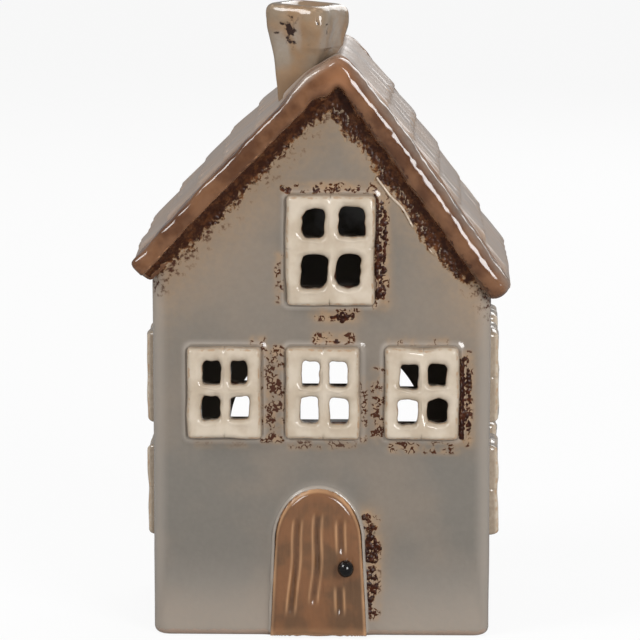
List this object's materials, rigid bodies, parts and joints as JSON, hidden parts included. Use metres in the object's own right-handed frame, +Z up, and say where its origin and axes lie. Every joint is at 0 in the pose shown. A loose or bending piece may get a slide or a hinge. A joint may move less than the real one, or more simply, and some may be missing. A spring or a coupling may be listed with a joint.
{
  "type": "tealight house",
  "caption": "Cottage-shaped ceramic tealight holder with a pitched tiled roof, a chimney, pierced windows and an arched rear doorway for the candle.",
  "frame": {"origin": "middle of the underside of the house's body, on the surface that it stands on", "axes": "+Z up, -Y towards the front with the door, +X to the right seen from the front"},
  "size_m": [0.1197, 0.1011, 0.203],
  "materials": {
    "wall_glaze": "glossy",
    "roof_glaze": "glossy",
    "bargeboard_glaze": "glossy",
    "window_glaze": "glossy",
    "chimney_glaze": "glossy",
    "door_glaze": "glossy",
    "knob_glaze": "glossy",
    "cup_aluminium": "satin",
    "wax": "satin",
    "wick_cotton": "matte",
    "sustainer_tin": "satin"
  },
  "bodies": {
    "house": {"floor_slab": "wall_glaze", "front_wall": "wall_glaze", "rear_wall": "wall_glaze", "left_wall": "wall_glaze", "right_wall": "wall_glaze", "roof_left": "roof_glaze", "roof_right": "roof_glaze", "front_bargeboard_left": "bargeboard_glaze", "front_bargeboard_right": "bargeboard_glaze", "rear_bargeboard_left": "bargeboard_glaze", "rear_bargeboard_right": "bargeboard_glaze", "chimney": "chimney_glaze", "attic_window": "window_glaze", "front_window_left": "window_glaze", "front_window_middle": "window_glaze", "front_window_right": "window_glaze", "left_window_upper_front": "window_glaze", "left_window_upper_rear": "window_glaze", "left_window_lower_front": "window_glaze", "left_window_lower_rear": "window_glaze", "right_window_upper_front": "window_glaze", "right_window_upper_rear": "window_glaze", "right_window_lower_front": "window_glaze", "right_window_lower_rear": "window_glaze", "door": "door_glaze", "door_knob": "knob_glaze"},
    "tealight": {"tealight_cup": "cup_aluminium", "tealight_wax": "wax", "tealight_wick": "wick_cotton", "wick_sustainer": "sustainer_tin"}
  },
  "joints": [
    {"name": "tealight_slide", "type": "slide", "parent": "house", "child": "tealight", "axis": [0, 1, 0], "range_m": [0, 0.085]}
  ]
}
